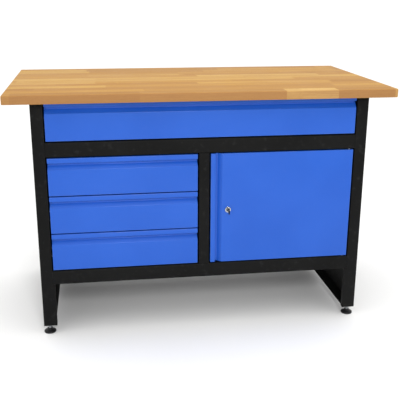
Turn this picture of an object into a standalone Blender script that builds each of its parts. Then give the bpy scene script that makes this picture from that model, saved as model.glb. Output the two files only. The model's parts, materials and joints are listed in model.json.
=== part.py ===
"""Workbench: beech top on a folded steel frame, one wide drawer, three small drawers, a locking cupboard.

Frame: origin on the floor under the middle of the top, +X to the right, -Y to the front, +Z up.
All sizes are in metres.
"""

from math import radians, sqrt

import bmesh
import bpy
from mathutils import Matrix, Vector

# ---------------------------------------------------------------- driving dimensions
# Overall
TOP_WIDTH = 1.200
TOP_DEPTH = 0.650
TOP_THICKNESS = 0.027
BENCH_HEIGHT = 0.787

# How far the top stands out beyond the frame
SIDE_OVERHANG = 0.075
FRONT_OVERHANG = 0.045
BACK_OVERHANG = 0.030

# Folded frame
FRAME_SHEET = 0.002
POST_FLANGE = 0.037
LEG_FLANGE = 0.043
BOTTOM_FLANGE = 0.038
FLANGE_LIP = 0.015
FOLD_RADIUS = 0.002
LEG_HEIGHT = 0.1445
RAIL_HEIGHT = 0.046
RAIL_FLANGE = 0.030
WIDE_OPENING = 0.123
MULLION_WIDTH = 0.034
MULLION_DEPTH = 0.020
MULLION_X = -0.001
DECK_SHEET = 0.0015
DECK_FLANGE = 0.020
REAR_SHEET = 0.0015
REAR_FOLD = 0.030
TOP_RAIL_HEIGHT = 0.030
TOP_RAIL_DEPTH = 0.040

# Drawer fronts and door: a folded pan with a finger pull along one edge
FRONT_GAP = 0.0035
SIDE_GAP = 0.004
SMALL_DRAWERS = ("upper", "middle", "lower")
PAN_SHEET = 0.0012
PAN_DEPTH = 0.020
PAN_RADIUS = 0.0008
LIP_HEIGHT = 0.0155
WIDE_LIP_HEIGHT = 0.0115
RECESS_HEIGHT = 0.008
SLOPE_HEIGHT = 0.013
RECESS_DEPTH = 0.012

# Drawer boxes
BOX_SHEET = 0.001
BOX_LENGTH = 0.500
BOX_LIFT = 0.009
BOX_HEADROOM = 0.024

# Drawer runners
RUNNER_LENGTH = 0.480
RUNNER_SETBACK = 0.006
RUNNER_SHEET = 0.0012
RUNNER_HEIGHT = 0.030
MOVING_WIDTH = 0.012
MOVING_CLEARANCE = 0.0008
RUNNER_SIDE_CLEARANCE = 0.0015
RUNNER_ENGAGEMENT = 0.009

# Door hinge pins
PIN_RADIUS = 0.0025
PIN_HEAD_RADIUS = 0.005
PIN_HEAD = 0.002
PIN_ENTRY = 0.008
HINGE_INSET_X = 0.012
HINGE_INSET_Y = 0.0075

# Cam lock
LOCK_FROM_DOOR_EDGE = 0.056
LOCK_BELOW_MIDDLE = 0.003
BARREL_RADIUS = 0.008
BEZEL_RIM = 0.0015
BEZEL_THICKNESS = 0.003
BARREL_LENGTH = 0.019
PLUG_RADIUS = 0.0055
PLUG_PROUD = 0.0008
NUT_WALL = 0.0045
NUT_THICKNESS = 0.004
CAM_WIDTH = 0.013
CAM_THICKNESS = 0.002
CAM_OVERLAP = 0.009
CAM_END = 0.008
CAM_SETBACK = 0.001
KEY_THICKNESS = 0.002
KEY_BLADE_HEIGHT = 0.0075
KEY_ENTRY = 0.010
KEY_NECK = 0.008
KEY_BOW_RADIUS = 0.010
KEY_HOLE_RADIUS = 0.003

# Levelling feet
FOOT_HEIGHT = 0.030
FOOT_INSET_X = 0.0175
FOOT_INSET_Y = 0.022
FOOT_RADIUS = 0.019
FOOT_NECK_WALL = 0.003
FOOT_PAD_HEIGHT = 0.015
STUD_RADIUS = 0.005
STUD_RISE = 0.022
STUD_SEAT = 0.006
FOOT_NUT_WALL = 0.0045
FOOT_NUT_THICKNESS = 0.008

# Top screws
SCREW_RADIUS = 0.0025
SCREW_HEAD_RADIUS = 0.005
SCREW_HEAD = 0.003
SCREW_ENTRY = 0.018
SCREW_FROM_END = 0.080

# Fits
SEAT = 0.0003
RUNNING = 0.0003
HOLE_CLEARANCE = 0.0004
TOP_EASE = 0.0015
ROUND_SEGMENTS = 32
SMALL_SEGMENTS = 20
CUT_PAST = 0.010

# ---------------------------------------------------------------- places worked out from them
FRONT_Y = -TOP_DEPTH / 2 + FRONT_OVERHANG
BACK_Y = TOP_DEPTH / 2 - BACK_OVERHANG
OUT_X = TOP_WIDTH / 2 - SIDE_OVERHANG
OPEN_X = OUT_X - POST_FLANGE
WEB_X = OUT_X - FRAME_SHEET
PANEL_X = OUT_X - max(POST_FLANGE, LEG_FLANGE, BOTTOM_FLANGE)

LEG_Z = FOOT_HEIGHT
LOW_RAIL_Z = LEG_Z + LEG_HEIGHT
FOOT_NECK_RADIUS = STUD_RADIUS + FOOT_NECK_WALL
FOOT_NUT_RADIUS = STUD_RADIUS + FOOT_NUT_WALL
LOW_OPEN_Z = LOW_RAIL_Z + RAIL_HEIGHT
FRAME_TOP_Z = BENCH_HEIGHT - TOP_THICKNESS
WIDE_OPEN_Z = FRAME_TOP_Z - WIDE_OPENING
MID_RAIL_Z = WIDE_OPEN_Z - RAIL_HEIGHT

REAR_PANEL_Y = BACK_Y - FRAME_SHEET - SEAT - REAR_SHEET
DECK_FRONT_Y = FRONT_Y + RAIL_FLANGE + SEAT
DECK_BACK_Y = REAR_PANEL_Y - SEAT
MULLION_LEFT = MULLION_X - MULLION_WIDTH / 2
MULLION_RIGHT = MULLION_X + MULLION_WIDTH / 2
BOX_FRONT_Y = FRONT_Y + PAN_DEPTH + SEAT
RUNNER_Y = FRONT_Y + max(PAN_DEPTH, MULLION_DEPTH, FLANGE_LIP) + RUNNER_SETBACK

DOOR_LEFT = MULLION_RIGHT + SIDE_GAP
DOOR_RIGHT = OPEN_X - SIDE_GAP
DOOR_LOW = LOW_OPEN_Z + FRONT_GAP
DOOR_HIGH = MID_RAIL_Z - FRONT_GAP
HINGE_X = DOOR_RIGHT - HINGE_INSET_X
HINGE_Y = FRONT_Y + HINGE_INSET_Y
LOCK_X = DOOR_LEFT + LOCK_FROM_DOOR_EDGE
LOCK_Z = (DOOR_LOW + DOOR_HIGH) / 2 - LOCK_BELOW_MIDDLE
BEZEL_RADIUS = BARREL_RADIUS + BEZEL_RIM
NUT_RADIUS = BARREL_RADIUS + NUT_WALL

COLOURS = {
    "beech": ((0.62, 0.40, 0.18), 0.45, 0.0),
    "black_powder_coat": ((0.022, 0.022, 0.022), 0.45, 0.0),
    "blue_powder_coat": ((0.045, 0.16, 0.78), 0.35, 0.0),
    "zinc_steel": ((0.55, 0.56, 0.58), 0.38, 1.0),
    "chrome": ((0.80, 0.81, 0.83), 0.12, 1.0),
    "black_plastic": ((0.02, 0.02, 0.022), 0.5, 0.0),
}


# ---------------------------------------------------------------- scene and helpers
def clear_scene():
    for item in list(bpy.data.objects):
        bpy.data.objects.remove(item, do_unlink=True)


def new_collection(name):
    group = bpy.data.collections.new(name)
    bpy.context.scene.collection.children.link(group)
    return group


def new_material(name, slot):
    colour, roughness, metallic = COLOURS[slot]
    material = bpy.data.materials.new(name)
    material.use_nodes = True
    shader = material.node_tree.nodes["Principled BSDF"]
    shader.inputs["Base Color"].default_value = (*colour, 1.0)
    shader.inputs["Roughness"].default_value = roughness
    shader.inputs["Metallic"].default_value = metallic
    material.diffuse_color = (*colour, 1.0)
    return material


clear_scene()
PARTS = new_collection("workbench")
CUTTERS = new_collection("workbench_cutters")


def finish_part(name, bm, slot):
    """Turn a bmesh into a named part with its own material."""
    bmesh.ops.recalc_face_normals(bm, faces=bm.faces)
    mesh = bpy.data.meshes.new(name)
    bm.to_mesh(mesh)
    bm.free()
    part = bpy.data.objects.new(name, mesh)
    PARTS.objects.link(part)
    mesh.materials.append(new_material(name, slot))
    return part


def finish_cutter(name, bm):
    """Turn a bmesh into a hidden tool for a Boolean."""
    bmesh.ops.recalc_face_normals(bm, faces=bm.faces)
    mesh = bpy.data.meshes.new(name)
    bm.to_mesh(mesh)
    bm.free()
    tool = bpy.data.objects.new(name, mesh)
    CUTTERS.objects.link(tool)
    tool.hide_render = True
    tool.display_type = "WIRE"
    return tool


def combine(part, tool, operation):
    modifier = part.modifiers.new(tool.name, "BOOLEAN")
    modifier.operation = operation
    modifier.solver = "EXACT"
    modifier.object = tool
    return part


def cut(part, tool):
    return combine(part, tool, "DIFFERENCE")


def fuse(part, tool):
    return combine(part, tool, "UNION")


def box_mesh(corner_a, corner_b):
    """A box between two opposite corners, given in any order."""
    low = Vector(min(a, b) for a, b in zip(corner_a, corner_b))
    high = Vector(max(a, b) for a, b in zip(corner_a, corner_b))
    bm = bmesh.new()
    place = Matrix.Translation((low + high) / 2) @ Matrix.Diagonal((*(high - low), 1))
    bmesh.ops.create_cube(bm, size=1.0, matrix=place)
    return bm


def round_edges(bm, radius, segments, keep_sharp):
    """Round every edge except those that keep_sharp accepts at both ends."""
    edges = [edge for edge in bm.edges if not all(keep_sharp(vert.co) for vert in edge.verts)]
    bmesh.ops.bevel(bm, geom=edges, offset=radius, segments=segments, profile=0.5, affect="EDGES")


AXIS_TURN = {
    "X": Matrix.Rotation(radians(90), 4, "Y"),
    "Y": Matrix.Rotation(radians(90), 4, "X"),
    "Z": Matrix.Identity(4),
}


def rod_mesh(centre, radius, length, axis, segments=SMALL_SEGMENTS):
    """A cylinder centred on a point, along a world axis."""
    bm = bmesh.new()
    place = Matrix.Translation(centre) @ AXIS_TURN[axis]
    bmesh.ops.create_cone(bm, cap_ends=True, segments=segments, radius1=radius, radius2=radius,
                          depth=length, matrix=place)
    return bm


def prism_mesh(outline, start, end, place):
    """A flat outline drawn at start and pushed to end; place(a, b, along) gives each point."""
    bm = bmesh.new()
    face = bm.faces.new([bm.verts.new(place(a, b, start)) for a, b in outline])
    grown = bmesh.ops.extrude_face_region(bm, geom=[face])
    moved = [item for item in grown["geom"] if isinstance(item, bmesh.types.BMVert)]
    push = Vector(place(0, 0, end)) - Vector(place(0, 0, start))
    bmesh.ops.translate(bm, verts=moved, vec=push)
    return bm


def channel_outline(web, flange, sheet):
    """A folded C: its web on the line a = 0, from b = 0 to b = web, its flanges towards +a."""
    return [
        (0, 0),
        (flange, 0),
        (flange, sheet),
        (sheet, sheet),
        (sheet, web - sheet),
        (flange, web - sheet),
        (flange, web),
        (0, web),
    ]


def along_x(a, b, along):
    """Outline in (Y, Z)."""
    return (along, a, b)


def along_y(a, b, along):
    """Outline in (X, Z)."""
    return (a, along, b)


def along_z(a, b, along):
    """Outline in (X, Y)."""
    return (a, b, along)


def shifted(outline, a, b, flip_a=1, flip_b=1):
    return [(a + flip_a * p, b + flip_b * q) for p, q in outline]


def turned_part(name, profile, centre, slot, axis="Z", segments=ROUND_SEGMENTS, ring=False):
    """A profile of (radius, height), running down its outer side, turned about the axis."""
    bm = bmesh.new()
    verts = [bm.verts.new((radius, 0, height)) for radius, height in profile]
    for first, second in zip(verts, verts[1:]):
        bm.edges.new((first, second))
    if ring:
        bm.edges.new((verts[-1], verts[0]))
    mesh = bpy.data.meshes.new(name)
    bm.to_mesh(mesh)
    bm.free()
    mesh.materials.append(new_material(name, slot))
    part = bpy.data.objects.new(name, mesh)
    PARTS.objects.link(part)
    part.matrix_world = Matrix.Translation(centre) @ AXIS_TURN[axis]
    screw = part.modifiers.new("Turn", "SCREW")
    screw.axis = "Z"
    screw.angle = radians(360)
    screw.steps = segments
    screw.render_steps = segments
    screw.use_merge_vertices = True
    screw.merge_threshold = 0.00001
    screw.use_smooth_shade = False
    return part


def joint_marker(name, location, parent=None):
    """An empty on a joint's axis; the pieces of that body hang from it."""
    marker = bpy.data.objects.new(name, None)
    marker.empty_display_size = 0.03
    PARTS.objects.link(marker)
    marker.location = location
    bpy.context.view_layer.update()
    if parent:
        attach(parent, [marker])
    return marker


def attach(marker, pieces):
    bpy.context.view_layer.update()
    for piece in pieces:
        piece.parent = marker
        piece.matrix_parent_inverse = marker.matrix_world.inverted()
    bpy.context.view_layer.update()


# ---------------------------------------------------------------- frame
def foot_places():
    """Name, x and y of each levelling foot."""
    x = OUT_X - FOOT_INSET_X
    front = FRONT_Y + FOOT_INSET_Y
    back = BACK_Y - FOOT_INSET_Y
    return [
        ("front_left", -x, front),
        ("front_right", x, front),
        ("rear_left", -x, back),
        ("rear_right", x, back),
    ]


def screw_places():
    """Name, x and y of each screw that holds the top."""
    x = OUT_X - POST_FLANGE / 2
    front = FRONT_Y + SCREW_FROM_END
    back = BACK_Y - SCREW_FROM_END
    return [
        ("front_left", -x, front),
        ("front_right", x, front),
        ("rear_left", -x, back),
        ("rear_right", x, back),
    ]


def make_worktop():
    """The slab, with eased edges and a blind pilot hole for each screw."""
    low = (-TOP_WIDTH / 2, -TOP_DEPTH / 2, FRAME_TOP_Z + SEAT)
    high = (TOP_WIDTH / 2, TOP_DEPTH / 2, BENCH_HEIGHT)
    bm = box_mesh(low, high)
    round_edges(bm, TOP_EASE, 2, lambda point: False)
    worktop = finish_part("worktop", bm, "beech")
    for name, x, y in screw_places():
        depth = SCREW_ENTRY + SEAT
        centre = (x, y, FRAME_TOP_Z + SEAT + depth / 2 - CUT_PAST / 2)
        pilot = rod_mesh(centre, SCREW_RADIUS + HOLE_CLEARANCE, depth + CUT_PAST, "Z")
        cut(worktop, finish_cutter("pilot_" + name, pilot))
    return worktop


def make_side_panel(name, side):
    """A folded side: web, flanges all round, a return lip on the front post and leg."""
    bm = box_mesh((side * PANEL_X, FRONT_Y, LEG_Z), (side * OUT_X, BACK_Y, FRAME_TOP_Z))
    round_edges(bm, FOLD_RADIUS, 3, lambda point: abs(point.x) < PANEL_X + FOLD_RADIUS)
    panel = finish_part(name, bm, "black_powder_coat")
    past = PANEL_X - CUT_PAST
    leg_x = OUT_X - LEG_FLANGE

    hollow = box_mesh((side * past, FRONT_Y + FRAME_SHEET, LEG_Z + FRAME_SHEET),
                      (side * WEB_X, BACK_Y - FRAME_SHEET, FRAME_TOP_Z - FRAME_SHEET))
    cut(panel, finish_cutter(name + "_hollow", hollow))
    upper = box_mesh((side * past, FRONT_Y - CUT_PAST, LOW_RAIL_Z),
                     (side * OPEN_X, BACK_Y + CUT_PAST, FRAME_TOP_Z + CUT_PAST))
    cut(panel, finish_cutter(name + "_upper_trim", upper))
    leg = box_mesh((side * past, FRONT_Y - CUT_PAST, LEG_Z - CUT_PAST),
                   (side * leg_x, FRONT_Y + FRAME_SHEET + CUT_PAST, LOW_RAIL_Z))
    cut(panel, finish_cutter(name + "_leg_trim", leg))
    lower = box_mesh((side * past, FRONT_Y + FRAME_SHEET, LEG_Z - CUT_PAST),
                     (side * (OUT_X - BOTTOM_FLANGE), BACK_Y + CUT_PAST, LOW_RAIL_Z))
    cut(panel, finish_cutter(name + "_lower_trim", lower))

    bite = FRAME_SHEET / 2
    post_lip = box_mesh((side * OPEN_X, FRONT_Y + bite, LOW_RAIL_Z + bite),
                        (side * (OPEN_X + FRAME_SHEET), FRONT_Y + FLANGE_LIP, FRAME_TOP_Z - bite))
    fuse(panel, finish_cutter(name + "_post_lip", post_lip))
    leg_lip = box_mesh((side * leg_x, FRONT_Y + bite, LEG_Z + FRAME_SHEET),
                       (side * (leg_x + FRAME_SHEET), FRONT_Y + FLANGE_LIP, LOW_RAIL_Z - bite))
    fuse(panel, finish_cutter(name + "_leg_lip", leg_lip))

    for foot, x, y in foot_places():
        if x * side > 0:
            hole = rod_mesh((x, y, LEG_Z), STUD_RADIUS + HOLE_CLEARANCE, 2 * CUT_PAST, "Z")
            cut(panel, finish_cutter("foot_hole_" + foot, hole))
    for screw, x, y in screw_places():
        if x * side > 0:
            hole = rod_mesh((x, y, FRAME_TOP_Z), SCREW_RADIUS + HOLE_CLEARANCE, 2 * CUT_PAST, "Z")
            cut(panel, finish_cutter("screw_hole_" + screw, hole))
    return panel


def make_front_rail(name, low_z):
    """A channel between the posts, open to the rear."""
    outline = shifted(channel_outline(RAIL_HEIGHT, RAIL_FLANGE, FRAME_SHEET), FRONT_Y, low_z)
    end = OPEN_X - SEAT
    bm = prism_mesh(outline, -end, end, along_x)
    return finish_part(name, bm, "black_powder_coat")


def make_rails():
    middle = make_front_rail("middle_front_rail", MID_RAIL_Z)
    bottom = make_front_rail("bottom_front_rail", LOW_RAIL_Z)
    reach = FRAME_SHEET + CUT_PAST
    for rail, z in ((middle, MID_RAIL_Z), (bottom, LOW_OPEN_Z)):
        hole = rod_mesh((HINGE_X, HINGE_Y, z), PIN_RADIUS + HOLE_CLEARANCE, reach, "Z")
        cut(rail, finish_cutter(rail.name + "_pin_hole", hole))
    return middle, bottom


def make_mullion():
    """The upright between the drawers and the door."""
    outline = channel_outline(MULLION_WIDTH, MULLION_DEPTH, FRAME_SHEET)
    turned = [(MULLION_LEFT + b, FRONT_Y + a) for a, b in outline]
    bm = prism_mesh(turned, LOW_OPEN_Z + SEAT, MID_RAIL_Z - SEAT, along_z)
    return finish_part("mullion", bm, "black_powder_coat")


def make_partition():
    """The sheet between the drawers and the cupboard; its front edge runs inside the mullion."""
    half = DECK_SHEET / 2
    low = (MULLION_X - half, FRONT_Y + FRAME_SHEET + SEAT, LOW_OPEN_Z + SEAT)
    high = (MULLION_X + half, DECK_BACK_Y, MID_RAIL_Z - SEAT)
    return finish_part("centre_partition", box_mesh(low, high), "black_powder_coat")


def make_deck(name, top_z):
    """A shelf between the sides, folded down along both ends."""
    end = WEB_X - SEAT
    outline = channel_outline(2 * end, DECK_FLANGE, DECK_SHEET)
    turned = [(b - end, top_z - a) for a, b in outline]
    bm = prism_mesh(turned, DECK_FRONT_Y, DECK_BACK_Y, along_y)
    return finish_part(name, bm, "black_powder_coat")


def make_rear_panel():
    """The back sheet, folded forwards along its lower edge."""
    top = FRAME_TOP_Z - FRAME_SHEET - SEAT
    outline = [
        (REAR_PANEL_Y + REAR_SHEET, LOW_RAIL_Z),
        (REAR_PANEL_Y + REAR_SHEET, top),
        (REAR_PANEL_Y, top),
        (REAR_PANEL_Y, LOW_RAIL_Z + REAR_SHEET),
        (REAR_PANEL_Y - REAR_FOLD, LOW_RAIL_Z + REAR_SHEET),
        (REAR_PANEL_Y - REAR_FOLD, LOW_RAIL_Z),
    ]
    end = WEB_X - SEAT
    return finish_part("rear_panel", prism_mesh(outline, -end, end, along_x), "black_powder_coat")


def make_rear_top_rail():
    """A channel under the rear of the top, open downwards."""
    front = DECK_BACK_Y - TOP_RAIL_DEPTH
    outline = channel_outline(TOP_RAIL_DEPTH, TOP_RAIL_HEIGHT, FRAME_SHEET)
    turned = [(front + b, FRAME_TOP_Z - a) for a, b in outline]
    end = OPEN_X - SEAT
    return finish_part("rear_top_rail", prism_mesh(turned, -end, end, along_x), "black_powder_coat")


# ---------------------------------------------------------------- drawer fronts and door
def pull_profile(height, lip):
    """Outer outline of a front: depth from the face, and height from the plain edge."""
    under_lip = height - lip
    recess_end = under_lip - RECESS_HEIGHT
    slope_end = recess_end - SLOPE_HEIGHT
    return [
        (PAN_DEPTH, 0),
        (0, 0),
        (0, slope_end),
        (RECESS_DEPTH, recess_end),
        (RECESS_DEPTH, under_lip),
        (0, under_lip),
        (0, height),
        (PAN_DEPTH, height),
    ]


def pull_hollow(height, lip):
    """The same outline, one sheet thickness inside, running out of the open rear."""
    under_lip = height - lip
    slope_end = under_lip - RECESS_HEIGHT - SLOPE_HEIGHT
    rise = SLOPE_HEIGHT / RECESS_DEPTH
    drop = PAN_SHEET * sqrt(1 + rise * rise)
    rear = PAN_DEPTH + CUT_PAST
    back = RECESS_DEPTH + PAN_SHEET
    return [
        (rear, PAN_SHEET),
        (PAN_SHEET, PAN_SHEET),
        (PAN_SHEET, slope_end + PAN_SHEET * rise - drop),
        (back, slope_end + back * rise - drop),
        (back, under_lip + PAN_SHEET),
        (PAN_SHEET, under_lip + PAN_SHEET),
        (PAN_SHEET, height - PAN_SHEET),
        (rear, height - PAN_SHEET),
    ]


def make_pan(name, height, lip, start, end, place):
    """A hollow front with its finger pull; place(depth, height, along) sets it in the frame."""
    bm = prism_mesh(pull_profile(height, lip), start, end, place)
    rear_y = FRONT_Y + PAN_DEPTH
    round_edges(bm, PAN_RADIUS, 2, lambda point: point.y > rear_y - PAN_RADIUS)
    pan = finish_part(name, bm, "blue_powder_coat")
    hollow = prism_mesh(pull_hollow(height, lip), start + PAN_SHEET, end - PAN_SHEET, place)
    return cut(pan, finish_cutter(name + "_hollow", hollow))


def make_drawer_front(name, lip, low_z, high_z, left, right):
    def place(depth, height, along):
        return (along, FRONT_Y + depth, low_z + height)

    return make_pan(name, high_z - low_z, lip, left, right, place)


def make_door():
    """The door; its finger pull is on the left, its hinge holes are on the right."""
    def place(depth, height, along):
        return (DOOR_RIGHT - height, FRONT_Y + depth, along)

    door = make_pan("door", DOOR_RIGHT - DOOR_LEFT, LIP_HEIGHT, DOOR_LOW, DOOR_HIGH, place)
    lock = rod_mesh((LOCK_X, FRONT_Y, LOCK_Z), BARREL_RADIUS + HOLE_CLEARANCE, 2 * CUT_PAST, "Y")
    cut(door, finish_cutter("lock_hole", lock))
    for name, z in (("upper", DOOR_HIGH), ("lower", DOOR_LOW)):
        pin = rod_mesh((HINGE_X, HINGE_Y, z), PIN_RADIUS + RUNNING, CUT_PAST, "Z")
        cut(door, finish_cutter("door_pin_hole_" + name, pin))
    return door


def make_hinge_pins():
    """Headed pins: the upper one hangs in the middle rail, the lower one stands in the bottom rail."""
    shank = FRAME_SHEET + FRONT_GAP + PIN_ENTRY
    centre = (HINGE_X, HINGE_Y)
    upper = turned_part("hinge_pin_upper", [
        (0, PIN_HEAD + SEAT),
        (PIN_HEAD_RADIUS, PIN_HEAD + SEAT),
        (PIN_HEAD_RADIUS, SEAT),
        (PIN_RADIUS, SEAT),
        (PIN_RADIUS, -shank),
        (0, -shank),
    ], (*centre, MID_RAIL_Z + FRAME_SHEET), "zinc_steel", segments=SMALL_SEGMENTS)
    lower = turned_part("hinge_pin_lower", [
        (0, shank),
        (PIN_RADIUS, shank),
        (PIN_RADIUS, -SEAT),
        (PIN_HEAD_RADIUS, -SEAT),
        (PIN_HEAD_RADIUS, -PIN_HEAD - SEAT),
        (0, -PIN_HEAD - SEAT),
    ], (*centre, LOW_OPEN_Z - FRAME_SHEET), "zinc_steel", segments=SMALL_SEGMENTS)
    return upper, lower


# ---------------------------------------------------------------- drawers
def make_drawer_box(name, low_z, high_z, left, right):
    """An open tray behind a drawer front."""
    low = (left, BOX_FRONT_Y, low_z)
    high = (right, BOX_FRONT_Y + BOX_LENGTH, high_z)
    tray = finish_part(name, box_mesh(low, high), "blue_powder_coat")
    hollow = box_mesh((left + BOX_SHEET, BOX_FRONT_Y + BOX_SHEET, low_z + BOX_SHEET),
                      (right - BOX_SHEET, BOX_FRONT_Y + BOX_LENGTH - BOX_SHEET, high_z + CUT_PAST))
    return cut(tray, finish_cutter(name + "_hollow", hollow))


def make_runner_pair(name, side, mount_x, open_x, centre_z):
    """A fixed channel on the carcass and the drawer's own channel inside its mouth."""
    low = centre_z - RUNNER_HEIGHT / 2
    back = mount_x - side * SEAT
    mouth = open_x - side * (RUNNER_SIDE_CLEARANCE + RUNNER_ENGAGEMENT)
    outline = channel_outline(RUNNER_HEIGHT, abs(back - mouth), RUNNER_SHEET)
    bm = prism_mesh(shifted(outline, back, low, flip_a=-side), RUNNER_Y, RUNNER_Y + RUNNER_LENGTH, along_y)
    fixed = finish_part(name + "_fixed_rail", bm, "zinc_steel")

    inset = RUNNER_SHEET + MOVING_CLEARANCE
    web = open_x - side * (RUNNER_SIDE_CLEARANCE + MOVING_WIDTH)
    outline = channel_outline(RUNNER_HEIGHT - 2 * inset, MOVING_WIDTH, RUNNER_SHEET)
    bm = prism_mesh(shifted(outline, web, low + inset, flip_a=side), RUNNER_Y, RUNNER_Y + RUNNER_LENGTH,
                    along_y)
    moving = finish_part(name + "_moving_rail", bm, "zinc_steel")
    return fixed, moving


def make_drawer(name, lip, low_z, high_z, sides):
    """One drawer; sides gives (mounting face, opening edge) for its left and right."""
    (left_mount, left_open), (right_mount, right_open) = sides
    start = left_open + SIDE_GAP
    end = right_open - SIDE_GAP
    front = make_drawer_front(name + "_front", lip, low_z, high_z, start, end)
    rail_space = RUNNER_SIDE_CLEARANCE + MOVING_WIDTH + SEAT
    box_low = low_z + BOX_LIFT
    box_high = high_z - BOX_HEADROOM
    tray = make_drawer_box(name + "_box", box_low, box_high, left_open + rail_space, right_open - rail_space)
    centre_z = (box_low + box_high) / 2
    _, left_rail = make_runner_pair(name + "_left", -1, left_mount, left_open, centre_z)
    _, right_rail = make_runner_pair(name + "_right", 1, right_mount, right_open, centre_z)
    marker = joint_marker(name + "_slide", ((left_open + right_open) / 2, FRONT_Y, centre_z))
    attach(marker, [front, tray, left_rail, right_rail])


def make_drawers():
    full = ((-WEB_X, -OPEN_X), (WEB_X, OPEN_X))
    make_drawer("wide_drawer", WIDE_LIP_HEIGHT, WIDE_OPEN_Z + FRONT_GAP, FRAME_TOP_Z - FRONT_GAP, full)
    half = ((-WEB_X, -OPEN_X), (MULLION_X - DECK_SHEET / 2, MULLION_LEFT))
    opening = MID_RAIL_Z - LOW_OPEN_Z
    count = len(SMALL_DRAWERS)
    height = (opening - (count + 1) * FRONT_GAP) / count
    for index, name in enumerate(SMALL_DRAWERS):
        top = MID_RAIL_Z - FRONT_GAP - index * (height + FRONT_GAP)
        make_drawer(name + "_drawer", LIP_HEIGHT, top - height, top, half)


# ---------------------------------------------------------------- lock
def make_lock():
    """Cam lock: barrel clamped in the door by its nut, plug with cam and key turning inside it."""
    axis_point = (LOCK_X, FRONT_Y, LOCK_Z)
    bore = PLUG_RADIUS + RUNNING
    barrel = turned_part("lock_barrel", [
        (bore, BEZEL_THICKNESS),
        (BEZEL_RADIUS - TOP_EASE / 2, BEZEL_THICKNESS),
        (BEZEL_RADIUS, BEZEL_THICKNESS - TOP_EASE / 2),
        (BEZEL_RADIUS, SEAT),
        (BARREL_RADIUS, SEAT),
        (BARREL_RADIUS, -BARREL_LENGTH),
        (bore, -BARREL_LENGTH),
    ], axis_point, "chrome", axis="Y", ring=True)

    front = BEZEL_THICKNESS + PLUG_PROUD
    cam_depth = max(BARREL_LENGTH, PAN_DEPTH, MULLION_DEPTH) + CAM_SETBACK
    rear = SEAT - cam_depth
    plug = turned_part("lock_plug", [
        (0, front),
        (PLUG_RADIUS, front),
        (PLUG_RADIUS, rear),
        (0, rear),
    ], axis_point, "chrome", axis="Y")
    slot_x = KEY_THICKNESS / 2 + RUNNING
    slot_z = KEY_BLADE_HEIGHT / 2 + RUNNING
    face_y = FRONT_Y - front
    slot = box_mesh((LOCK_X - slot_x, face_y - CUT_PAST, LOCK_Z - slot_z),
                    (LOCK_X + slot_x, face_y + KEY_ENTRY + RUNNING, LOCK_Z + slot_z))
    cut(plug, finish_cutter("key_slot", slot))

    nut_front = FRONT_Y + PAN_SHEET + SEAT
    nut = finish_part("lock_nut", rod_mesh((LOCK_X, nut_front + NUT_THICKNESS / 2, LOCK_Z),
                                           NUT_RADIUS, NUT_THICKNESS, "Y", segments=6), "zinc_steel")
    nut_bore = rod_mesh((LOCK_X, nut_front, LOCK_Z), BARREL_RADIUS + HOLE_CLEARANCE,
                        2 * CUT_PAST, "Y", segments=ROUND_SEGMENTS)
    cut(nut, finish_cutter("lock_nut_bore", nut_bore))

    cam_front = FRONT_Y + cam_depth
    reach = LOCK_X - MULLION_RIGHT + CAM_OVERLAP
    cam_low = (LOCK_X - CAM_WIDTH / 2, cam_front, LOCK_Z - reach)
    cam_high = (LOCK_X + CAM_WIDTH / 2, cam_front + CAM_THICKNESS, LOCK_Z + CAM_END)
    cam = finish_part("lock_cam", box_mesh(cam_low, cam_high), "zinc_steel")

    key = make_key(face_y)
    return [barrel, nut], [plug, cam, key]


def make_key(face_y):
    """A flat key in the plug: blade, neck and a round bow with a ring hole."""
    half = KEY_THICKNESS / 2
    blade_half = KEY_BLADE_HEIGHT / 2
    bow_y = face_y - KEY_NECK - KEY_BOW_RADIUS
    blade = box_mesh((LOCK_X - half, bow_y, LOCK_Z - blade_half),
                     (LOCK_X + half, face_y + KEY_ENTRY, LOCK_Z + blade_half))
    key = finish_part("key", blade, "black_plastic")
    bow = rod_mesh((LOCK_X, bow_y, LOCK_Z), KEY_BOW_RADIUS, KEY_THICKNESS, "X", segments=24)
    fuse(key, finish_cutter("key_bow", bow))
    ring_y = bow_y - KEY_BOW_RADIUS / 2
    hole = rod_mesh((LOCK_X, ring_y, LOCK_Z), KEY_HOLE_RADIUS, CUT_PAST, "X")
    return cut(key, finish_cutter("key_ring_hole", hole))


def make_cupboard():
    door = make_door()
    make_hinge_pins()
    fixed_in_door, turning = make_lock()
    hinge = joint_marker("door_hinge", (HINGE_X, HINGE_Y, (DOOR_LOW + DOOR_HIGH) / 2))
    attach(hinge, [door] + fixed_in_door)
    lock_turn = joint_marker("lock_turn", (LOCK_X, FRONT_Y, LOCK_Z), parent=hinge)
    attach(lock_turn, turning)


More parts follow.
